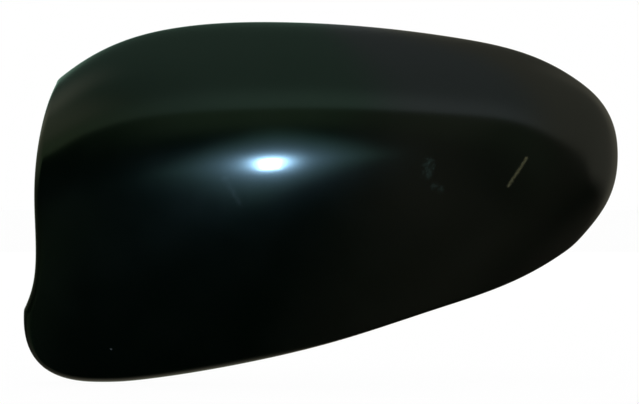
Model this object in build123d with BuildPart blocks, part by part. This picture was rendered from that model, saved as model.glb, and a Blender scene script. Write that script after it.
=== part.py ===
from build123d import *
from collections import namedtuple
from math import atan2, cos, radians, sin, sqrt, tan
import os

# Left wing mirror cover: one moulded shell. X points outboard, Y rearward, Z up, in mm.
# The plane Y = 0 is the rear rim, where the cover meets the mirror housing.
width = 209
height = 126
depth = 70
wall = 2.5
top_draft = 9
crest_radius = 40
handle_ratio = 1.19
edge_radius = 1.5
notch_radius = 2
foot_run = 24.5
foot_drop = 24.5
foot_fullness = 0.70

# Turned edge along the foot and the lower rim
return_depth = 8
return_end = 84

# Rebate inside the rear rim, where the housing's edge tucks in
rebate_depth = 4
rebate_wall = 1.5

# Snap hooks
hook_width = 10
hook_thickness = 2.2
hook_reach = 16
barb_height = 1.8
barb_length = 5
barb_land = 1.2
gusset_thickness = 1.5
gusset_foot = 7

# Locating pins on bosses
boss_radius = 4.5
boss_reach = 13
pin_radius = 2.5
pin_length = 8
pin_lead = 0.8
web_thickness = 1.5
web_span = 9

# Gussets behind the lower edge
edge_gusset_rise = 9

# How far the skin runs past the rim, and the working solids past the shell, before they are trimmed
overrun = 25
far = 2 * depth

# Sections of the skin across the car's width. x is in widths, z values in heights, y values in depths.
# top: the skin behind the rim; crest: its foremost point; toe: its end below the lower rim.
# The curve's handle above the crest is handle_ratio times the one below it, at every section.
Section = namedtuple("Section", "x top_z crest_y crest_z roundness toe_y toe_z toe_angle brow_share")
sections = [
    Section(-0.536, 0.254, -0.671, -0.032, 1.00, -0.357, -0.587, 36, 0.84),
    Section(-0.407, 0.440, -0.814, 0.032, 1.00, -0.471, -0.583, 36, 0.84),
    Section(-0.239, 0.537, -0.947, 0.087, 1.00, -0.529, -0.560, 36, 0.85),
    Section(-0.072, 0.551, -1.000, 0.111, 1.00, -0.529, -0.508, 37, 0.85),
    Section(0.096, 0.536, -0.950, 0.119, 1.00, -0.429, -0.437, 40, 0.83),
    Section(0.239, 0.506, -0.814, 0.119, 0.95, -0.229, -0.365, 48, 0.78),
    Section(0.359, 0.460, -0.614, 0.123, 0.85, 0.100, -0.290, 62, 0.68),
    Section(0.440, 0.392, -0.386, 0.127, 0.72, 0.343, -0.180, 76, 0.60),
    Section(0.491, 0.313, -0.143, 0.133, 0.62, 0.471, -0.088, 80, 0.55),
    Section(0.534, 0.206, 0.214, 0.131, 0.30, 0.571, -0.008, 80, 0.55),
]

# Front view of the trimmed edges, in widths and heights
inboard_edge = [
    (-0.438, 0.460),
    (-0.447, 0.351),
    (-0.456, 0.214),
    (-0.465, 0.016),
    (-0.462, -0.137),
    (-0.471, -0.242),
    (-0.486, -0.297),
]
lower_edge = [
    (-0.280, -0.479),
    (-0.123, -0.436),
    (0.034, -0.375),
    (0.192, -0.294),
    (0.316, -0.227),
    (0.402, -0.157),
    (0.480, -0.070),
]

# Side view of the arm opening's upper edge: the poles of its curve, in depths and heights
gap_edge = [(0, 0.317), (-0.333, 0.317), (-0.667, 0.159), (-1, -0.238)]

# Hooks and pins in the front view, in widths and heights, with the way each barb faces in degrees from X
hooks = [
    (-0.297, 0.365, 100),
    (-0.038, 0.397, 90),
    (0.230, 0.349, 78),
    (0.421, 0.135, 0),
    (0.057, -0.270, -75),
    (-0.239, -0.365, -80),
    (-0.421, -0.040, 180),
]
pins = [(-0.278, 0.111), (0.230, 0.095)]
edge_gussets = [-0.33, -0.21, -0.09, 0.03, 0.15]


def plan_normal(index):
    """Outward direction of the skin's crest line in plan at one section."""
    before = sections[max(index - 1, 0)]
    after = sections[min(index + 1, len(sections) - 1)]
    turn = atan2((after.crest_y - before.crest_y) * depth, (after.x - before.x) * width)
    return sin(turn), cos(turn)


def skin_form(inset):
    """Solid bounded by the skin, moved in by a wall's thickness and run past the rim and the trimmed edges."""
    with BuildPart() as form:
        for index, section in enumerate(sections):
            out_x, out_y = plan_normal(index)
            angle = radians(section.toe_angle)
            top = Vector(overrun, section.top_z * height - inset)
            crest = Vector(section.crest_y * depth + inset * out_y, section.crest_z * height)
            toe = Vector(section.toe_y * depth, section.toe_z * height)
            toe += Vector(cos(angle) * out_y, sin(angle)) * inset
            run = (overrun - crest.X) * section.brow_share
            brow = top - Vector(run, run * tan(radians(top_draft)))
            bulge = brow.X - crest.X
            flank = toe + Vector(-1, 1 / tan(angle)) * (toe.X - crest.X - bulge / handle_ratio**2)
            handle = sqrt(2 / 3 * bulge * (crest_radius * section.roundness - inset))
            above = crest + Vector(0, handle)
            below = crest - Vector(0, handle / handle_ratio)
            back = 2 * overrun
            place = Plane(
                origin=(section.x * width - inset * out_x, 0, 0), x_dir=(0, 1, 0), z_dir=(1, 0, 0)
            )
            with BuildSketch(place):
                with BuildLine():
                    Bezier(top, brow, above, crest)
                    Bezier(crest, below, flank, toe)
                    Polyline(toe, (back, toe.Y), (back, top.Y), top)
                make_face()
        loft()
    return form.part


def edge_line(points, inset):
    """Points of a trimmed edge in the front view, moved in from the edge on their left-hand side."""
    places = [Vector(x * width, z * height) for x, z in points]
    moved = []
    for index, place in enumerate(places):
        along = places[min(index + 1, len(places) - 1)] - places[max(index - 1, 0)]
        moved.append(place + Vector(-along.Y, along.X).normalized() * inset)
    return moved


def trim_sketch(inset):
    """Front view kept inside the inboard and lower edges, open far above and outboard."""
    inboard = edge_line(inboard_edge, inset)
    lower = edge_line(lower_edge, inset)
    notch = inboard[-1]
    heel = edge_line(inboard_edge, 0)[-1] + Vector(foot_run, inset - foot_drop)
    with BuildSketch(Plane.XZ) as trim:
        with BuildLine():
            Spline(*inboard)
            Bezier(
                notch,
                notch - Vector(0, foot_fullness * (notch.Y - heel.Y)),
                heel - Vector(foot_fullness * (heel.X - notch.X), 0),
                heel,
            )
            Spline(heel, *lower, tangents=((1, 0), lower[-1] - lower[-2]))
            Polyline(lower[-1], (far, lower[-1].Y), (far, far), (inboard[0].X, far), inboard[0])
        make_face()
    return trim.sketch


def first_hit(solid, start, direction):
    """First point where a line meets a solid."""
    return solid.find_intersection_points(Axis(start, direction))[0][0]


def skin_inside(x, z):
    """How far forward the inside of the skin lies at a place in the front view."""
    return first_hit(inner.part, (x, -far, z), (0, 1, 0)).Y


def standing_plane(x, z, facing):
    """Plane through a place in the front view, with its x along the facing and its y rearward."""
    turn = radians(facing)
    return Plane(origin=(x, 0, z), x_dir=(cos(turn), 0, sin(turn)), z_dir=(-sin(turn), 0, cos(turn)))


outer_form = skin_form(0)
outer_trim = trim_sketch(0)
with BuildPart() as outer:
    add(outer_form)
    extrude(outer_trim, amount=far, mode=Mode.INTERSECT)
    fillet(outer.edges().filter_by(Axis.Y).sort_by(Axis.X)[0], notch_radius)
    front = outer.faces().sort_by(SortBy.AREA)[-1]
    fillet([edge for edge in front.edges() if edge.center().Y < -edge_radius], edge_radius)

inner_form = skin_form(wall)
inner_trim = trim_sketch(wall)
with BuildPart() as inner:
    add(inner_form)
    extrude(inner_trim, amount=far, mode=Mode.INTERSECT)

# The opening for the mirror arm leaves a turned edge behind the skin and a shoulder wall above
with BuildPart() as arm_opening:
    add(Pos(0, return_depth, 0) * outer_form)
    poles = [Vector(y * depth, z * height) for y, z in gap_edge]
    with BuildSketch(Plane.YZ.offset(-width)):
        with BuildLine():
            Bezier(*poles)
            Polyline(poles[-1], (poles[-1].X, -height), (0, -height), poles[0])
        make_face()
    extrude(amount=width + return_end, mode=Mode.INTERSECT)

rebate_form = skin_form(rebate_wall)
with BuildPart() as rebate:
    add(rebate_form)
    extrude(inner_trim, amount=rebate_depth, mode=Mode.INTERSECT)

with BuildPart() as fittings:
    for x_share, z_share, facing in hooks:
        x, z = x_share * width, z_share * height
        place = standing_plane(x, z, facing)
        tip = skin_inside(x, z) + hook_reach
        with BuildSketch(place):
            with BuildLine():
                Polyline(
                    (-hook_thickness, -far),
                    (0, -far),
                    (0, tip - barb_length),
                    (barb_height, tip - barb_length),
                    (barb_height, tip - barb_length + barb_land),
                    (-hook_thickness / 2, tip),
                    (-hook_thickness, tip),
                    close=True,
                )
            make_face()
        extrude(amount=hook_width / 2, both=True)
        heel = place.from_local_coords((-hook_thickness - gusset_foot, 0, 0))
        low = skin_inside(heel.X, heel.Z)
        for side in (-1, 1):
            with BuildSketch(place.offset(side * (hook_width - gusset_thickness) / 2)):
                with BuildLine():
                    Polyline(
                        (-hook_thickness, -far),
                        (-hook_thickness, tip - barb_length),
                        (-hook_thickness - gusset_foot, low),
                        (-hook_thickness - gusset_foot, -far),
                        close=True,
                    )
                make_face()
            extrude(amount=gusset_thickness / 2, both=True)

    for x_share, z_share in pins:
        x, z = x_share * width, z_share * height
        seat = skin_inside(x, z) + boss_reach
        with BuildSketch(Plane.XZ.offset(-seat)):
            with Locations((x, z)):
                Circle(boss_radius)
        extrude(amount=far)
        with BuildSketch(Plane.XZ.offset(-seat)):
            with Locations((x, z)):
                Circle(pin_radius)
        extrude(amount=-pin_length)
        rims = fittings.edges().filter_by(GeomType.CIRCLE)
        chamfer(rims.sort_by_distance((x, seat + pin_length, z))[0], pin_lead)
        for facing in (0, 90):
            with BuildSketch(standing_plane(x, z, facing)):
                with BuildLine():
                    Polyline(
                        (-web_span, -far),
                        (web_span, -far),
                        (web_span, seat - boss_reach),
                        (0, seat),
                        (-web_span, seat - boss_reach),
                        close=True,
                    )
                make_face()
            extrude(amount=web_thickness / 2, both=True)

    for x_share in edge_gussets:
        x = x_share * width
        rim = first_hit(outer.part, (x, -edge_radius, -height), (0, 0, 1)).Z
        skin = first_hit(outer.part, (x, -far, rim + wall), (0, 1, 0)).Y
        with BuildSketch(Plane.YZ.offset(x)):
            with BuildLine():
                Polyline(
                    (skin - 2 * return_depth, rim),
                    (skin + return_depth - wall, rim),
                    (skin, rim + edge_gusset_rise),
                    (skin - 2 * return_depth, rim + edge_gusset_rise),
                    close=True,
                )
            make_face()
        extrude(amount=gusset_thickness / 2, both=True)

# The hooks, pins and gussets are what the hollow and the arm opening leave standing
with BuildPart() as hollow:
    add(inner.part)
    add(fittings.part, mode=Mode.SUBTRACT)

with BuildPart() as arm_gap:
    add(arm_opening.part)
    add(fittings.part, mode=Mode.SUBTRACT)

with BuildPart() as mirror_cover:
    add(outer.part)
    add([hollow.part, arm_gap.part, rebate.part], mode=Mode.SUBTRACT)

mirror_cover.part.label = "mirror_cover"
os.makedirs("parts", exist_ok=True)
export_step(mirror_cover.part, "parts/mirror_cover.step")
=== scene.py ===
from math import cos, pi, radians, sin, sqrt, tan
import bpy
import numpy as np
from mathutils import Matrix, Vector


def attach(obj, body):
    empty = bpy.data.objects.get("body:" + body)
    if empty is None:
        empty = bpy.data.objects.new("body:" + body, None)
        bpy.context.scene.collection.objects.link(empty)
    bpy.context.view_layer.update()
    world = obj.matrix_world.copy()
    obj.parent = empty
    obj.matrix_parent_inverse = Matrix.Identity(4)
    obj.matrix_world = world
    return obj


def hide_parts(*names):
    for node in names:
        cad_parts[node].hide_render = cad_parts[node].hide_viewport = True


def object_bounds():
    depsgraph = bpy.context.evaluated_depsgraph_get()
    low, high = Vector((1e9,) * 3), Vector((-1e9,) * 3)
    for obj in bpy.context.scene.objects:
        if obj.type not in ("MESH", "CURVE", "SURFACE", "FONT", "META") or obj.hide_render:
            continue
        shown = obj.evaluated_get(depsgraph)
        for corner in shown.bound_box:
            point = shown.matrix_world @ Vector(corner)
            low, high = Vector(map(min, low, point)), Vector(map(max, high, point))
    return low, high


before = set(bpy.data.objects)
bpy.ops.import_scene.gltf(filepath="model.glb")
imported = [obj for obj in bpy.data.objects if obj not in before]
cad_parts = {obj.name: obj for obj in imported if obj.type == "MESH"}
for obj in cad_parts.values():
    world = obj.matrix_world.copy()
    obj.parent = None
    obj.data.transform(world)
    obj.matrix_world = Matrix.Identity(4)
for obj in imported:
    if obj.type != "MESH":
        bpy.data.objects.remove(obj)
cad_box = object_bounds()

# The cover is one injection-moulded shell of black plastic: a domed skin of even thickness with a thinner
# lip round the rear rim. The inboard end and the lower edge are trimmed to a curve, rolled over and turned
# back. Sizes are in mm: x runs outboard, y to the rear as far as the rim at 0, and z up.
mm = 0.001
wall = 2.5
lip = 1.5
lip_depth = 4
lower_radius = 3.2
inboard_radius = 4
return_depth = 8
top_draft = 9
overrun = 25
handle_ratio = 1.19

# Sections of the skin across the car's width: x, then the skin's top behind the rim (z), its foremost
# point, the crest (y, z and radius), its toe below the lower edge (y, z and slope), and how far the
# brow's handle reaches
sections = [
    (-112, 32.0, -47.0, -2.0, 40.0, -25, -74.0, 36, 0.84),
    (-85, 55.4, -57.0, 5.7, 40.0, -33, -73.5, 36, 0.84),
    (-50, 67.7, -66.3, 12.2, 40.0, -37, -70.6, 36, 0.85),
    (-15, 69.4, -70.0, 14.5, 40.0, -37, -64.0, 37, 0.85),
    (20, 67.5, -66.5, 15.0, 40.0, -30, -55.0, 40, 0.83),
    (50, 63.8, -57.0, 15.0, 38.0, -16, -46.0, 48, 0.78),
    (75, 58.2, -43.0, 15.5, 34.0, 7, -36.5, 62, 0.68),
    (92, 50.0, -27.0, 16.0, 28.8, 24, -22.7, 76, 0.60),
    (103.2, 39.7, -10.0, 16.8, 24.8, 33, -11.0, 80, 0.55),
    (112.2, 26.0, 15.0, 16.5, 12.0, 40, -1.0, 80, 0.55),
]

# Front view of the trimmed outline: down the inboard end to the notch, round the foot, along the lower edge
inboard_edge = [(-92, 58), (-93.9, 44.2), (-95.5, 27), (-97, 2), (-96.7, -17.3), (-98.6, -30.5),
                (-101.4, -37)]
lower_edge = [(-77, -61.9), (-70, -61.8), (-58.5, -60.7), (-25.7, -55.2), (7.1, -47.5), (40.1, -37.3),
              (66.0, -28.9), (84.0, -20.1), (100.3, -9)]
foot_flare = 1.8
foot_fullness = 0.74
heel_fullness = 0.66
foot_share = 0.2
notch_radius = 0.9
nose_corner = 98
nose_span = (100, 112)

# Side view (y, z) of how far back the inboard end is turned
gap_edge = [(0, 40), (-23.3, 40), (-46.7, 20), (-70, -30)]

# The roll is as tight round the foot as on the lower edge, and widens from the foot's top up the inboard end
foot_side = -80
foot_top = -45
wide_above = -10

# How finely the curves are followed and the skin is meshed
curve_steps = 200
outline_steps = 120
rim_steps = 160
nose_steps = 400
columns = 64
rows = 34
nudge = 0.2
edge_crease = 0.3
smoothing = 2
soft_angle = 35


def spline(knots, values):
    """Natural cubic spline through rows of values at the knots."""
    knots, values = np.array(knots, float), np.array(values, float)
    step = np.diff(knots)
    slope = np.diff(values, axis=0) / step[:, None]
    system = np.eye(len(knots))
    bend = np.zeros_like(values)
    for i in range(1, len(step)):
        system[i, i - 1:i + 2] = step[i - 1], 2 * (step[i - 1] + step[i]), step[i]
        bend[i] = 6 * (slope[i] - slope[i - 1])
    bend = np.linalg.solve(system, bend)

    def at(place):
        i = int(np.clip(np.searchsorted(knots, place) - 1, 0, len(step) - 1))
        past, left, h = place - knots[i], knots[i + 1] - place, step[i]
        curve = (bend[i] * left**3 + bend[i + 1] * past**3) / (6 * h)
        return (curve + (values[i] / h - bend[i] * h / 6) * left
                + (values[i + 1] / h - bend[i + 1] * h / 6) * past)

    return at


def bezier(poles, count):
    """Points along a cubic curve with four poles."""
    u = np.linspace(0, 1, count)[:, None]
    a, b, c, d = np.array(poles, float)
    return a * (1 - u)**3 + 3 * b * u * (1 - u)**2 + 3 * c * u**2 * (1 - u) + d * u**3


def measured(points):
    """Distance along a line of points."""
    return np.concatenate(([0], np.cumsum(np.linalg.norm(np.diff(points, axis=0), axis=1))))


section_at = spline([s[0] for s in sections], [s[1:] for s in sections])


def profile(x):
    """The skin's section at x: how far each point lies from the crest along it, and the points (y, z)."""
    top_z, crest_y, crest_z, radius, toe_y, toe_z, toe_angle, brow_share = section_at(x)
    angle = radians(toe_angle)
    crest = np.array((crest_y, crest_z))
    run = (overrun - crest_y) * brow_share
    brow = np.array((overrun - run, top_z - run * tan(radians(top_draft))))
    bulge = brow[0] - crest_y
    handle = sqrt(2 / 3 * bulge * radius)
    flank_y = crest_y + bulge / handle_ratio**2
    flank = (flank_y, toe_z + (toe_y - flank_y) / sin(angle) * cos(angle))
    upper = bezier([(overrun, top_z), brow, crest + (0, handle), crest], curve_steps + 1)
    lower = bezier([crest, crest - (0, handle / handle_ratio), flank, (toe_y, toe_z)], curve_steps + 1)
    points = np.vstack((upper, lower[1:]))
    along = measured(points)
    return along - along[curve_steps], points


def skin(x, place):
    """Point of the outer skin at x, a given way along its section from the crest."""
    along, points = profile(x)
    return np.array((x, np.interp(place, along, points[:, 0]), np.interp(place, along, points[:, 1])))


def outward(x, place):
    """Outward direction of the skin there."""
    down = skin(x, place + nudge) - skin(x, place - nudge)
    across = skin(x + nudge, place) - skin(x - nudge, place)
    normal = np.cross(down, across)
    normal /= np.linalg.norm(normal)
    return -normal if normal[1] > 0 else normal


def from_front(x, z):
    """Where a place in the front view lies on the skin: its way along the section, and its depth (y)."""
    along, points = profile(x)
    return np.interp(-z, -points[:, 1], along), np.interp(-z, -points[:, 1], points[:, 0])


def stepped(chain, steps):
    """Places along a chain of places on the skin, at steps of its length."""
    distance = measured([skin(*place) for place in chain])
    steps = np.array(steps) * distance[-1]
    return np.column_stack([np.interp(steps, distance, chain[:, i]) for i in (0, 1)])


def even(chain, count):
    """The same chain at even steps."""
    return stepped(chain, np.linspace(0, 1, count))


def through(points, count):
    """Even points along a smooth line through a few."""
    distance = measured(points)
    at = spline(distance, points)
    return np.array([at(d) for d in np.linspace(0, distance[-1], count)])


notch = np.array(inboard_edge[-1])
heel = np.array(lower_edge[0])
drop = (foot_flare, foot_fullness * (notch - heel)[1])
run = (heel_fullness * (heel - notch)[0], 0)
foot = bezier([notch, notch - drop, heel - run, heel], outline_steps // 2)
lower_line = through(lower_edge, 2 * outline_steps)
outline = np.vstack((through(inboard_edge, outline_steps), foot[1:], lower_line[1:]))
trim = np.array([(x, *from_front(x, z)) for x, z in outline])


def trim_inside(depth):
    """The part of the trimmed outline in front of a plane at that depth, with its ends on the plane."""
    before = np.flatnonzero(trim[:, 2] < depth)
    ends = []
    for a, b in ((before[0] - 1, before[0]), (before[-1] + 1, before[-1])):
        share = (depth - trim[a, 2]) / (trim[b, 2] - trim[a, 2])
        ends.append(trim[a] + (trim[b] - trim[a]) * share)
    return np.vstack((ends[0], trim[before], ends[1]))[:, :2]


def contour(depth, start, end):
    """Where a plane at that depth cuts the skin, over the top and round the nose, between two places."""
    nose = np.linspace(*nose_span, nose_steps)
    tip = np.interp(depth, [section_at(x)[1] for x in nose], nose)
    swing = np.sin(np.linspace(0, pi / 2, rim_steps))
    chain = [start]
    for x in start[0] + (tip - start[0]) * swing[1:-1]:
        along, points = profile(x)
        chain.append((x, np.interp(-depth, -points[:curve_steps + 1, 0], along[:curve_steps + 1])))
    chain.append((tip, 0))
    for x in end[0] + (tip - end[0]) * swing[-2:0:-1]:
        along, points = profile(x)
        chain.append((x, np.interp(depth, points[curve_steps:, 0], along[curve_steps:])))
    chain.append(end)
    return np.array(chain)


def rim_sides(depth, start, end):
    """The two sides of the grid that follow the rim, over the top and round the nose."""
    chain = contour(depth, start, end)
    bend = np.argmax(chain[:, 0] > nose_corner)
    return even(chain[:bend + 1], columns + 1), even(chain[bend:], rows + 1)


# The skin's own grid lies between the trimmed outline and the line where the lip starts
edge = trim_inside(-lip_depth)
front = np.array([skin(*place)[[0, 2]] for place in edge])
turn = np.argmin(np.linalg.norm(front - foot[len(foot) // 2], axis=1))
notched = np.argmin(np.linalg.norm(front - notch, axis=1))
below = round(rows * foot_share)
end_length = measured([skin(*place) for place in edge[:turn + 1]])
notch_step = end_length[notched] / end_length[-1]
tight = notch_radius / end_length[-1]
left = stepped(edge[:turn + 1], [*np.linspace(0, notch_step - tight, rows - below), notch_step,
                                 *np.linspace(notch_step + tight, 1, below)])
bottom = even(edge[turn:], columns + 1)
top, right = rim_sides(-lip_depth, edge[0], edge[-1])
rim_edge = trim_inside(0)
rim = np.vstack([side[i:] for i, side in enumerate(rim_sides(0, rim_edge[0], rim_edge[-1]))])

places = np.zeros((rows + 1, columns + 1, 2))
for i, s in enumerate(np.linspace(0, 1, rows + 1)):
    for j, t in enumerate(np.linspace(0, 1, columns + 1)):
        sides = (1 - s) * top[j] + s * bottom[j] + (1 - t) * left[i] + t * right[i]
        upper_ends = (1 - s) * ((1 - t) * top[0] + t * top[-1])
        lower_ends = s * ((1 - t) * bottom[0] + t * bottom[-1])
        places[i, j] = sides - upper_ends - lower_ends
outer = np.array([[skin(*place) for place in row] for row in places])
normal = np.array([[outward(*place) for place in row] for row in places])
inner = outer - wall * normal

# Index of every grid place along the trimmed outline, and along the rim
trimmed = [(i, 0) for i in range(rows)] + [(rows, j) for j in range(columns + 1)]
rimmed = [(0, j) for j in range(columns)] + [(i, columns) for i in range(rows + 1)]


class Corner:
    """Cross-section of the rolled edge at one place on the trimmed outline."""

    def __init__(self, place, before, after):
        self.point = skin(*place)
        self.radius = lower_radius
        if self.point[0] <= foot_side:
            self.radius = np.interp(self.point[2], (foot_top, wide_above), (lower_radius, inboard_radius))
        run = skin(*after) - skin(*before)
        run /= np.linalg.norm(run)
        self.out = np.cross(run, outward(*place))
        self.out /= np.linalg.norm(self.out)
        self.back = np.array((0, 1, 0)) - run * run[1]
        self.back /= np.linalg.norm(self.back)
        self.sine = np.linalg.norm(np.cross(self.out, self.back))
        self.inward = np.array((-run[2], 0, run[0])) / sqrt(run[0]**2 + run[2]**2)

    def inside(self, from_skin, from_return):
        """The point behind the corner that lies so far from the skin and from the turned edge."""
        return self.point + (from_skin * self.back - from_return * self.out) / self.sine

    def rolled(self):
        """Where the roll leaves the skin, its middle, and where it meets the turned edge."""
        centre = self.inside(self.radius, self.radius)
        away = self.point - centre
        reach = sqrt(max(away @ away - self.radius**2, 0))
        middle = centre + away / np.linalg.norm(away) * self.radius
        return self.point - self.out * reach, middle, self.point + self.back * reach


# The turned edge runs back by its depth, at the inboard end as far as the gap, and never past the rim
chain = np.vstack((rim_edge[:1], [places[i] for i in trimmed], rim_edge[-1:]))
last = len(chain) - 1
corners = [Corner(chain[k], chain[max(k - 1, 0)], chain[min(k + 1, last)]) for k in range(len(chain))]
gap = bezier(gap_edge, curve_steps)
returned = []
for corner in corners:
    x, y, z = corner.point
    opening = np.interp(z, gap[::-1, 1], gap[::-1, 0])
    returned.append((x, min(0, max(y + return_depth, opening if x < 0 else y)), z))
returned = np.array(returned)

verts = []
faces = []
inside = []
creases = set()


def keep(points):
    """Adds points to the mesh and gives their numbers."""
    first = len(verts)
    verts.extend(np.reshape(points, (-1, 3)))
    return list(range(first, len(verts)))


def band(one, other, unseen):
    """Adds a band of faces between two lines of points, on the polished side or on the unseen one."""
    for a, b, c, d in zip(one, one[1:], other[1:], other):
        face = list(dict.fromkeys((a, b, c, d)))
        if len(face) > 2:
            faces.append(face)
            inside.append(unseen)


def crease(line):
    """Keeps the edges along a line of points crisp."""
    creases.update(frozenset(pair) for pair in zip(line, line[1:]))


def flat(points, depth):
    """The same points moved onto a plane at that depth."""
    points = np.array(points)
    points[:, 1] = depth
    return points


rolls = np.array([corner.rolled() for corner in corners])
for k, (i, j) in enumerate(trimmed, 1):
    outer[i, j] = rolls[k, 0]
    inner[i, j] = corners[k].inside(wall, wall)
lip_outer = np.array([outer[i, j] - lip * normal[i, j] for i, j in rimmed])
lip_rear = np.array([skin(*place) - lip * outward(*place) for place in rim])
for end, next_to_end in ((0, 1), (-1, -2)):
    lip_outer[end] = corners[next_to_end].inside(lip, wall)
    lip_rear[end] = corners[end].inside(lip, wall)
for i, j in rimmed:
    inner[i, j, 1] = -lip_depth

grid = np.reshape(keep(outer), (rows + 1, columns + 1))
lining = np.reshape(keep(inner), (rows + 1, columns + 1))
for i in range(rows):
    band(list(grid[i]), list(grid[i + 1]), False)
    band(list(lining[i]), list(lining[i + 1]), True)
rim_line = keep([skin(*place) for place in rim])
lip_line = keep(flat(lip_rear, 0))
step_line = keep(flat(lip_outer, -lip_depth))
skin_line = [grid[i, j] for i, j in rimmed]
lining_line = [lining[i, j] for i, j in rimmed]
for one, other in ((rim_line, lip_line), (lip_line, step_line), (step_line, lining_line)):
    band(one, other, True)
band(skin_line, rim_line, False)
roll_line = [rim_line[0]] + [grid[i, j] for i, j in trimmed] + [rim_line[-1]]
middle_line = [rim_line[0]] + keep(rolls[1:-1, 1]) + [rim_line[-1]]
wall_line = [rim_line[0]] + keep(rolls[1:-1, 2]) + [rim_line[-1]]
end_line = [rim_line[0]] + keep(returned[1:-1]) + [rim_line[-1]]
thickness = [wall * corner.inward for corner in corners[1:-1]]
back_line = [lip_line[0]] + keep(returned[1:-1] + thickness) + [lip_line[-1]]
corner_line = [step_line[0]] + [lining[i, j] for i, j in trimmed] + [step_line[-1]]
for one, other in ((roll_line, middle_line), (middle_line, wall_line), (wall_line, end_line)):
    band(one, other, False)
for one, other in ((end_line, back_line), (back_line, corner_line)):
    band(one, other, True)
for line in (rim_line, lip_line, step_line, lining_line, end_line, back_line, corner_line):
    crease(line)

mesh = bpy.data.meshes.new("mirror_cover_shell")
mesh.from_pydata([tuple(v * mm) for v in verts], [], faces)
mesh.polygons.foreach_set("material_index", inside)
shell = bpy.data.objects.new("mirror_cover_shell", mesh)
bpy.context.collection.objects.link(shell)
crispness = mesh.attributes.new("crease_edge", "FLOAT", "EDGE")
for line, value in zip(mesh.edges, crispness.data):
    if frozenset(line.vertices) in creases:
        value.value = edge_crease

bpy.ops.object.select_all(action="DESELECT")
shell.select_set(True)
bpy.context.view_layer.objects.active = shell
bpy.ops.object.mode_set(mode="EDIT")
bpy.ops.mesh.select_all(action="SELECT")
bpy.ops.mesh.normals_make_consistent(inside=False)
bpy.ops.object.mode_set(mode="OBJECT")
smooth = shell.modifiers.new("smooth", "SUBSURF")
smooth.levels = smoothing
smooth.render_levels = smoothing
bpy.ops.object.modifier_apply(modifier=smooth.name)
bpy.ops.object.shade_smooth_by_angle(angle=radians(soft_angle))

# Snap hooks, locating pins and gussets stand inside the skin, moulded with it in the same black plastic.
# The hooks clip behind the housing's edge, the pins find its holes, and the gussets stiffen the turned
# lower edge.
hook_width = 10
hook_thickness = 2.2
hook_reach = 16
barb_height = 1.8
barb_length = 5
barb_land = 1.2
gusset_thickness = 1.5
gusset_foot = 7
boss_radius = 4.5
boss_reach = 13
boss_sides = 40
pin_radius = 2.5
pin_length = 8
pin_lead = 0.8
web_thickness = 1.5
web_span = 9
edge_gusset_rise = 9
edge_gusset_run = return_depth - wall
moulded_radius = 0.25
moulded_steps = 2
moulded_angle = 40
root_margin = 1
edge_root_margin = 0.1
square_on = 0.9

# Hooks and pins by their place in the front view, and the way each barb faces in degrees from x
hooks = [(-62.1, 46, 100), (-7.9, 50, 90), (48.1, 44, 78), (88, 17, 0), (11.9, -34, -75), (-50, -46, -80),
         (-88, -5, 180)]
pins = [(-58.1, 14), (48.1, 12)]
edge_gussets = [-69, -43.9, -18.8, 6.3, 31.4]


def front_depth(x, z):
    """How far forward the outside of the skin lies at a place in the front view."""
    return from_front(x, z)[1]


def inside_depth(x, z):
    """How far forward the inside of the skin lies there."""
    place, depth = from_front(x, z)
    return depth - wall / outward(x, place)[1]


def block(low, high):
    """A new block between two corners, in edit mode."""
    bpy.ops.object.select_all(action="DESELECT")
    low, high = np.array(low) * mm, np.array(high) * mm
    bpy.ops.mesh.primitive_cube_add(size=1, location=(low + high) / 2, scale=high - low)
    bpy.ops.object.transform_apply(location=True, rotation=True, scale=True)
    bpy.ops.object.mode_set(mode="EDIT")
    bpy.ops.mesh.select_all(action="SELECT")
    return bpy.context.object


def cut(at, facing, keep_both=False):
    """Cuts what is being edited at a plane, and takes away the side that the plane faces."""
    bpy.ops.mesh.select_all(action="SELECT")
    bpy.ops.mesh.bisect(plane_co=np.array(at) * mm, plane_no=np.array(facing) / np.linalg.norm(facing),
                        use_fill=not keep_both, clear_outer=not keep_both)


def pick(piece, test):
    """Selects the faces of a piece whose centre, in mm, and normal pass a test."""
    bpy.ops.mesh.select_mode(type="FACE")
    bpy.ops.mesh.select_all(action="DESELECT")
    bpy.ops.object.mode_set(mode="OBJECT")
    for face in piece.data.polygons:
        face.select = test(face.center / mm, face.normal)
    bpy.ops.object.mode_set(mode="EDIT")


def pull(*way):
    """Draws the picked faces out, with new sides round them."""
    bpy.ops.mesh.extrude_region_move(TRANSFORM_OT_translate={"value": [step * mm for step in way]})


def joined(pieces):
    """One piece made of several, the first of which stays."""
    bpy.ops.object.select_all(action="DESELECT")
    for piece in pieces:
        piece.select_set(True)
    bpy.context.view_layer.objects.active = pieces[0]
    bpy.ops.object.join()
    return pieces[0]


def placed(model, place, angle):
    """A copy of a piece with its own mesh, turned about y and set at a place."""
    bpy.ops.object.select_all(action="DESELECT")
    copy = model.copy()
    copy.data = model.data.copy()
    bpy.context.collection.objects.link(copy)
    copy.rotation_euler = (0, radians(angle), 0)
    copy.location = np.array(place) * mm
    copy.select_set(True)
    bpy.context.view_layer.objects.active = copy
    bpy.ops.object.transform_apply(location=True, rotation=True, scale=True)
    return copy


def rooted(piece, depth):
    """Sinks the root of a piece, all of it further forward than a depth, halfway into the skin."""
    for point in piece.data.vertices:
        if point.co.y < depth * mm:
            point.co.y = (front_depth(point.co.x / mm, point.co.z / mm) + wall / 2) * mm
    return piece


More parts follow.
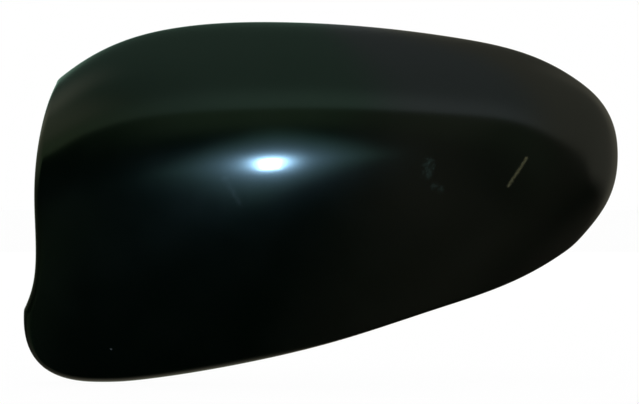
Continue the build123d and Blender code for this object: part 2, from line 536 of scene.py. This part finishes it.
hook = block((-hook_thickness, -hook_reach, -hook_width / 2), (0, 0, hook_width / 2))
cut((0, -barb_length, 0), (0, 1, 0), keep_both=True)
pick(hook, lambda centre, normal: normal.x > square_on and centre.y > -barb_length)
pull(barb_height, 0, 0)
lead = (barb_length - barb_land, barb_height + hook_thickness / 2, 0)
cut((barb_height, barb_land - barb_length, 0), lead)
bpy.ops.object.mode_set(mode="OBJECT")
ribs = []
for side in (-1, 1):
    z = side * (hook_width - gusset_thickness) / 2
    ribs.append(block((-hook_thickness - gusset_foot, -hook_reach, z - gusset_thickness / 2),
                      (-hook_thickness, -barb_length, z + gusset_thickness / 2)))
    cut((-hook_thickness, -barb_length, 0), (barb_length - hook_reach, gusset_foot, 0))
    bpy.ops.object.mode_set(mode="OBJECT")
hook = joined([hook, *ribs])

bpy.ops.object.select_all(action="DESELECT")
bpy.ops.mesh.primitive_cylinder_add(vertices=boss_sides, radius=boss_radius * mm, depth=boss_reach * mm,
                                    location=(0, -boss_reach / 2 * mm, 0), rotation=(radians(90), 0, 0))
bpy.ops.object.transform_apply(location=True, rotation=True, scale=True)
pin = bpy.context.object
bpy.ops.object.mode_set(mode="EDIT")
pick(pin, lambda centre, normal: normal.y > square_on)
bpy.ops.mesh.inset(thickness=(boss_radius - pin_radius) * mm)
pull(0, pin_length - pin_lead, 0)
pull(0, pin_lead, 0)
tip_share = 1 - pin_lead / pin_radius
bpy.ops.transform.resize(value=(tip_share, 1, tip_share), center_override=(0, pin_length * mm, 0))
bpy.ops.object.mode_set(mode="OBJECT")
web = block((-web_span, -boss_reach, -web_thickness / 2), (web_span, 0, web_thickness / 2))
cut((0, 0, 0), (boss_reach, web_span, 0))
cut((0, 0, 0), (-boss_reach, web_span, 0))
bpy.ops.object.mode_set(mode="OBJECT")
pin = joined([pin, placed(web, (0, 0, 0), 90), web])

edge_gusset = block((-gusset_thickness / 2, 0, wall / 2),
                    (gusset_thickness / 2, edge_gusset_run, edge_gusset_rise))
cut((0, 0, edge_gusset_rise), (0, edge_gusset_rise, edge_gusset_run))
bpy.ops.object.mode_set(mode="OBJECT")

fittings = []
for x, z, facing in hooks:
    root = inside_depth(x, z)
    fittings.append(rooted(placed(hook, (x, root + hook_reach, z), -facing), root + root_margin))
for x, z in pins:
    root = inside_depth(x, z)
    fittings.append(rooted(placed(pin, (x, root + boss_reach, z), 0), root + root_margin))
for x in edge_gussets:
    edge_z = np.interp(x, lower_line[:, 0], lower_line[:, 1])
    root = front_depth(x, edge_z + wall)
    fittings.append(rooted(placed(edge_gusset, (x, root, edge_z), 0), root + edge_root_margin))
for model in (hook, pin, edge_gusset):
    bpy.data.objects.remove(model)
fitted = joined(fittings)
soften = fitted.modifiers.new("soften", "BEVEL")
soften.width = moulded_radius * mm
soften.segments = moulded_steps
soften.limit_method = "ANGLE"
soften.angle_limit = radians(moulded_angle)
bpy.ops.object.modifier_apply(modifier=soften.name)
bpy.ops.object.shade_smooth_by_angle(angle=radians(soft_angle))

# Outside, the plastic is polished black; inside it has the fine matt grain of an unpolished mould. The
# polish is scuffed near the nose and has been wiped, with faint smudges, a streak and one speck of dust.
clean_black = (0.0003, 0.0013, 0.0004, 1)
wiped_black = (0.0007, 0.0017, 0.0007, 1)
streak_grey = (0.006, 0.008, 0.008, 1)
smudge_grey = (0.014, 0.024, 0.018, 1)
scuff_tan = (0.052, 0.043, 0.018, 1)
dust_grey = (0.035, 0.035, 0.032, 1)
dark_grain = (0.024, 0.025, 0.024, 1)
light_grain = (0.036, 0.037, 0.035, 1)
polish_roughness = 0.17
coat_weight = 0.3
coat_roughness = 0.1
peel_strength = 0.02
peel_height = 0.2 * mm
grain_roughness = 0.42
grain_strength = 0.35
grain_height = 0.1 * mm

# Waves a metre of each kind of unevenness
wiping_waves = 60
peel_waves = 250
blotch_waves = 500
wander_waves = 900
scuff_waves = 1500
tone_waves = 45
matt_waves = 140
grain_waves = 1800

# Marks on the polish: the two ends of each in the front view, and how far it fades out from that line
scuff_line = ((64.1, 5.5), (70.6, 15), 0.85)
upper_smudge_line = ((36.6, 13), (36, 9.3), 2.6)
lower_smudge_line = ((38.3, 5.3), (40.4, 4.2), 2)
streak_line = ((-31.4, 7.6), (-26.3, -0.7), 1.5)
speck_line = ((-71, -50), (-70.8, -50.1), 0.4)
speck_core = 0.15


class Field:
    """A value that varies over a surface: a shader socket with arithmetic."""

    def __init__(self, tree, socket=None):
        self.tree, self.socket = tree, socket

    def node(self, kind, settings, sockets, output=0):
        """One output of a new node, with the node's settings and sockets filled in."""
        made = self.tree.nodes.new("ShaderNode" + kind)
        for name, value in settings.items():
            setattr(made, name, value)
        for name, value in sockets.items():
            if isinstance(value, Field):
                self.tree.links.new(value.socket, made.inputs[name])
            else:
                made.inputs[name].default_value = value
        return Field(self.tree, made.outputs[output])

    def math(self, operation, *others):
        """This value, alone or with others, put through one operation."""
        return self.node("Math", {"operation": operation}, dict(enumerate((self, *others))))

    def ramp(self, low, high):
        """Rises smoothly from 0 to 1 between two values."""
        return self.node("MapRange", {"interpolation_type": "SMOOTHSTEP"},
                         {"Value": self, "From Min": low, "From Max": high})

    def mixed(self, one, other):
        """Blends two colours by this value."""
        return self.node("Mix", {"data_type": "RGBA"}, {0: self, 6: one, 7: other}, 2)

    def axis(self, index):
        """One axis of a place or direction."""
        return self.node("SeparateXYZ", {}, {0: self}, index)

    def noise(self, scale, detail=2):
        """Soft random variation between 0 and 1, at so many waves a metre."""
        return self.node("TexNoise", {}, {"Vector": self, "Scale": scale, "Detail": detail})

    def __add__(self, other):
        return self.math("ADD", other)

    def __sub__(self, other):
        return self.math("SUBTRACT", other)

    def __rsub__(self, other):
        return self.node("Math", {"operation": "SUBTRACT"}, {0: other, 1: self})

    def __mul__(self, other):
        return self.math("MULTIPLY", other)

    def __truediv__(self, other):
        return self.math("DIVIDE", other)

    def __pow__(self, other):
        return self.math("POWER", other)

    __radd__ = __add__
    __rmul__ = __mul__


def stroke(x, z, start, end, reach, core=0):
    """A mark along a line in the front view, in mm: 1 within its core, fading to 0 at its reach."""
    (ax, az), (bx, bz) = start, end
    dx, dz = bx - ax, bz - az
    share = (((x - ax) * dx + (z - az) * dz) / (dx**2 + dz**2)).math("MINIMUM", 1).math("MAXIMUM", 0)
    away = ((x - ax - share * dx) ** 2 + (z - az - share * dz) ** 2) ** 0.5
    return 1 - away.ramp(core, reach)


polished = bpy.data.materials.new("polished_black")
polished.use_nodes = True
tree = polished.node_tree
shader = tree.nodes["Principled BSDF"]
place = Field(tree).node("TexCoord", {}, {}, "Object")
x = place.axis(0) / mm
z = place.axis(2) / mm
wander = place.noise(wander_waves) - 0.5
blotch = place.noise(blotch_waves, 4).ramp(0.3, 0.7)
wiped = place.noise(wiping_waves, 4)
scuff = stroke(x + wander, z, *scuff_line) * place.noise(scuff_waves, 4).ramp(0.1, 0.6)
upper_smudge = stroke(x + wander * 4, z, *upper_smudge_line)
lower_smudge = stroke(x, z + wander * 4, *lower_smudge_line)
smudge = (upper_smudge + lower_smudge * 0.7) * blotch * 0.6
streak = stroke(x + wander * 2, z, *streak_line) * blotch
speck = stroke(x, z, *speck_line, speck_core)
colour = wiped.ramp(0.3, 0.7).mixed(clean_black, wiped_black)
marks = ((streak, streak_grey), (smudge, smudge_grey), (scuff, scuff_tan), (speck, dust_grey))
for mark, tone in marks:
    colour = mark.mixed(colour, tone)
rough = polish_roughness + wiped * 0.05 + scuff * 0.1 + smudge * 0.04 + streak * 0.02
peel = place.node("Bump", {}, {"Strength": peel_strength, "Distance": peel_height,
                               "Height": place.noise(peel_waves)})
tree.links.new(colour.socket, shader.inputs["Base Color"])
tree.links.new(rough.socket, shader.inputs["Roughness"])
tree.links.new(peel.socket, shader.inputs["Normal"])
shader.inputs["Coat Weight"].default_value = coat_weight
shader.inputs["Coat Roughness"].default_value = coat_roughness

grained = bpy.data.materials.new("grained_black")
grained.use_nodes = True
tree = grained.node_tree
shader = tree.nodes["Principled BSDF"]
place = Field(tree).node("TexCoord", {}, {}, "Object")
colour = place.noise(tone_waves, 3).mixed(dark_grain, light_grain)
rough = place.noise(matt_waves, 3) * 0.12 + grain_roughness
grain = place.node("Bump", {}, {"Strength": grain_strength, "Distance": grain_height,
                                "Height": place.noise(grain_waves)})
tree.links.new(colour.socket, shader.inputs["Base Color"])
tree.links.new(rough.socket, shader.inputs["Roughness"])
tree.links.new(grain.socket, shader.inputs["Normal"])
mesh.materials.append(polished)
mesh.materials.append(grained)
fitted.data.materials.append(grained)

cover = joined([shell, fitted])
cover.name = "mirror_cover_shell"
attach(cover, "root")
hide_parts("mirror_cover")

# A wide white paper floor lies under the cover. It shows as white to the lens, and a small part of its own
# shading keeps the cover's soft shadow.
floor_size = 40
paper_grey = (0.9, 0.9, 0.9, 1)
paper_roughness = 0.9
white = (1, 1, 1, 1)
white_share = 0.97


def background_rays(tree):
    """1 for rays that show the background, from the lens or by way of metal or glass, and 0 for others."""
    kinds = ("Is Camera Ray", "Is Glossy Ray", "Is Transmission Ray")
    straight, by_metal, by_glass = [Field(tree).node("LightPath", {}, {}, kind) for kind in kinds]
    return (straight + by_metal + by_glass).math("MINIMUM", 1)


bpy.ops.object.select_all(action="DESELECT")
bpy.ops.mesh.primitive_plane_add(size=floor_size, location=(0, 0, cad_box[0].z))
floor = bpy.context.object
floor.name = "floor"
floor.visible_glossy = False
paper = bpy.data.materials.new("white_paper")
paper.use_nodes = True
tree = paper.node_tree
shader = tree.nodes["Principled BSDF"]
shader.inputs["Base Color"].default_value = paper_grey
shader.inputs["Roughness"].default_value = paper_roughness
shaded = Field(tree, shader.outputs["BSDF"])
plain = shaded.node("Emission", {}, {"Color": white, "Strength": 1})
shown = shaded.node("MixShader", {}, {0: background_rays(tree) * white_share, 1: shaded, 2: plain})
tree.links.new(shown.socket, tree.nodes["Material Output"].inputs["Surface"])
floor.data.materials.append(paper)

# A glowing sphere, painted with reflections, stands round the set for the polish to mirror: a painted pale
# ceiling that slopes down behind the cover, dim sides, a warm floor far behind, and a painted glare of the
# flash in front. It glows though it is no lamp, and only reflections show it.
dome_radius = 3
dome_segments = 64
dome_rings = 32
ceiling_pitch = 0.73
ceiling_light = 0.21
ceiling_least = 0.024
fringe_light = 0.12
haze_light = 0.18
high_window_light = 0.13
low_window_light = 0.1
wall_light = 0.09
floor_light = 0.42
far_light = 0.17
left_light = 0.075
opening_light = 0.5
halo_light = 1.7
core_light = 1
brightest = 3
least = 0.001
black = (0, 0, 0, 1)
left_tint = (0.66, 1, 0.52, 1)
middle_tint = (0.58, 1, 0.76, 1)
right_tint = (0.84, 0.97, 0.98, 1)
nose_tint = (1, 1, 0.8, 1)
haze_tint = (0.58, 1, 0.55, 1)
warm_tint = (1, 0.95, 0.72, 1)
core_tint = (0.43, 0.8, 1, 1)
halo_tint = (0.4, 1, 0.75, 1)
flash_side = -0.065
flash_up = -0.03
glare_bow = 1.25

bpy.ops.object.select_all(action="DESELECT")
bpy.ops.mesh.primitive_uv_sphere_add(segments=dome_segments, ring_count=dome_rings, radius=dome_radius,
                                     location=(0, 0, 0))
reflection_dome = bpy.context.object
reflection_dome.name = "reflection_dome"
reflection_dome.visible_camera = False
reflection_dome.visible_diffuse = False
reflection_dome.visible_shadow = False
reflection_dome.visible_transmission = False
reflection_paint = bpy.data.materials.new("painted_reflections")
reflection_paint.use_nodes = True
tree = reflection_paint.node_tree
place = Field(tree).node("TexCoord", {}, {}, "Object")
way = place.node("VectorMath", {"operation": "NORMALIZE"}, {0: place})
side, rear, up = [way.axis(i) for i in range(3)]
inboard, fore, down = [0 - axis for axis in (side, rear, up)]

# Painted reflection of a pale ceiling with its fringe, and a painted haze below its edge
slope = rear + up * ceiling_pitch - inboard.ramp(0.2, 0.6) * 0.06 + inboard.ramp(0.65, 0.85) * 0.25
curtain = 1 - inboard.ramp(0.4, 0.7) * down.ramp(-0.3, 0) * 0.75
ceiling = slope.ramp(0.13, 0.25) * up.ramp(-0.3, -0.1) * curtain
fringe = fore.ramp(-0.1, 0.3) * fringe_light
dimmed = 1 - inboard.ramp(0.1, 0.6) * 0.38
pale = ceiling * (((1 - rear) * ceiling_light + fringe) * dimmed + ceiling_least)
haze = (1 - ceiling) * slope.ramp(-0.7, -0.1) * (1 - rear.ramp(-0.3, 0.1))
haze = haze * side.ramp(-0.75, -0.3) * (1 - side.ramp(0.05, 0.45) * 0.75) * haze_light

# Painted reflections of windows in the ceiling, the wall, the floor, the far corner, the left side and the
# open rear end
high_window = inboard.ramp(0.3, 0.55) * rear.ramp(0.45, 0.75) * high_window_light
low_window = inboard.ramp(0.45, 0.65) * rear.ramp(-0.15, 0.15) * low_window_light
wall_glow = (1 - ceiling) * side.ramp(0.1, 0.6) * (1 - side.ramp(0.6, 0.85) * 0.5)
wall_glow = wall_glow * (1 - rear.ramp(0, 0.5) * 0.75) * (up.ramp(-0.95, -0.5) * 0.5 + 0.5) * wall_light
floor_glow = down.ramp(0.2, 0.6) * rear.ramp(-0.35, 0.3) * inboard.ramp(-0.35, -0.05)
floor_glow = floor_glow * (side.ramp(-0.6, -0.2) * 0.7 + 0.3) * floor_light
far_glow = side.ramp(0.25, 0.55) * rear.ramp(0.7, 0.9) * up.ramp(-0.35, -0.1) * far_light
left_glow = inboard.ramp(0.5, 0.72) * down.ramp(0, 0.4) * fore.ramp(-0.3, 0.1) * left_light
opening = rear.ramp(0.9, 0.98) * opening_light
cold = pale + haze + opening + left_glow
warm = wall_glow + floor_glow + far_glow + (high_window + low_window) * ceiling

# A painted glare of the flash, a tilted lozenge with a bright core, mirrored round the flash's own highlight
across = side - flash_side
above = up - flash_up - across * (across.ramp(-0.03, 0.03) * 0.1 + 0.08)
wide = across.math("ABSOLUTE") * (1.6 - across.ramp(-0.03, 0.03) * 0.4)
tall = above.math("ABSOLUTE") * (1.7 - above.ramp(-0.03, 0.03) * 0.65)
from_flash = (wide ** glare_bow + tall ** glare_bow) ** (1 / glare_bow)
glare = (1 - from_flash.ramp(0, 0.75)) * halo_light + (1 - from_flash.ramp(0, 0.35)) * core_light
glare = glare * fore.ramp(0, 0.3)
light = cold + warm + glare

# Each painted light has its own tint, and they mix by their shares of what shines from there
bearing = side / (1 - rear)
tint = bearing.ramp(0.6, 1.1).mixed(right_tint, nose_tint)
tint = bearing.ramp(0.15, 0.35).mixed(middle_tint, tint)
tint = side.ramp(-0.75, -0.35).mixed(left_tint, tint)
tint = (haze / (pale + haze + least)).mixed(tint, haze_tint)
tint = (warm / (cold + warm + least)).mixed(tint, warm_tint)
tint = (glare / (light + least)).mixed(tint, from_flash.ramp(0.2, 0.7).mixed(core_tint, halo_tint))
shown = (light / brightest).mixed(black, tint)
# The sphere glows with these painted reflections
glow = place.node("Emission", {}, {"Color": shown, "Strength": brightest})
tree.links.new(glow.socket, tree.nodes["Material Output"].inputs["Surface"])
reflection_dome.data.materials.append(reflection_paint)

# A broad soft lamp hangs overhead and gives the set its plain level, and another one lights the inside of
# the cover from behind. A small bluish flash beside the lens makes the highlight, and the painted glare on
# the glowing sphere widens it. Sizes are in metres.
soft_size = (2, 2)
overhead_power = 20
overhead_place = (0, 0, 2)
behind_power = 30
behind_place = (0, 2, 0.7)
behind_tilt = -71
camera_distance = 0.935
facing_rear = 90
flash_size = (0.07, 0.13)
flash_power = 8
flash_place = (-0.06, -camera_distance, -0.034)
flash_blue = (0.38, 0.69, 1)


def lamp(name, size, power, place, tilt, mirrored):
    """A flat lamp, unseen by the lens, that faces down until it is tilted. The polish may mirror it."""
    bulb = bpy.data.lights.new(name, "AREA")
    bulb.shape = "RECTANGLE"
    bulb.size, bulb.size_y = size
    bulb.energy = power
    hung = bpy.data.objects.new(name, bulb)
    hung.location = place
    hung.rotation_euler = (radians(tilt), 0, 0)
    hung.visible_camera = False
    hung.visible_glossy = mirrored
    bpy.context.collection.objects.link(hung)
    return bulb


lamp("overhead", soft_size, overhead_power, overhead_place, 0, False)
lamp("behind", soft_size, behind_power, behind_place, behind_tilt, False)
flash = lamp("flash", flash_size, flash_power, flash_place, facing_rear, True)
flash.color = flash_blue

# The camera stands square on to the front of the cover, level with its middle. Its long lens keeps the
# outline nearly free of perspective.
focal_length = 147
lens = bpy.data.cameras.new("camera")
lens.lens = focal_length
camera = bpy.data.objects.new("camera", lens)
camera.location = (0, -camera_distance, 0)
camera.rotation_euler = (radians(facing_rear), 0, 0)
bpy.context.collection.objects.link(camera)
bpy.context.scene.camera = camera

# Round about is plain white to the lens, and it lights the set no more than a grey room would
room_grey = (0.55, 0.55, 0.55, 1)
world = bpy.data.worlds.new("studio")
bpy.context.scene.world = world
world.use_nodes = True
tree = world.node_tree
colour = background_rays(tree).mixed(room_grey, white)
tree.links.new(colour.socket, tree.nodes["Background"].inputs["Color"])
bpy.context.scene.view_settings.view_transform = "Standard"
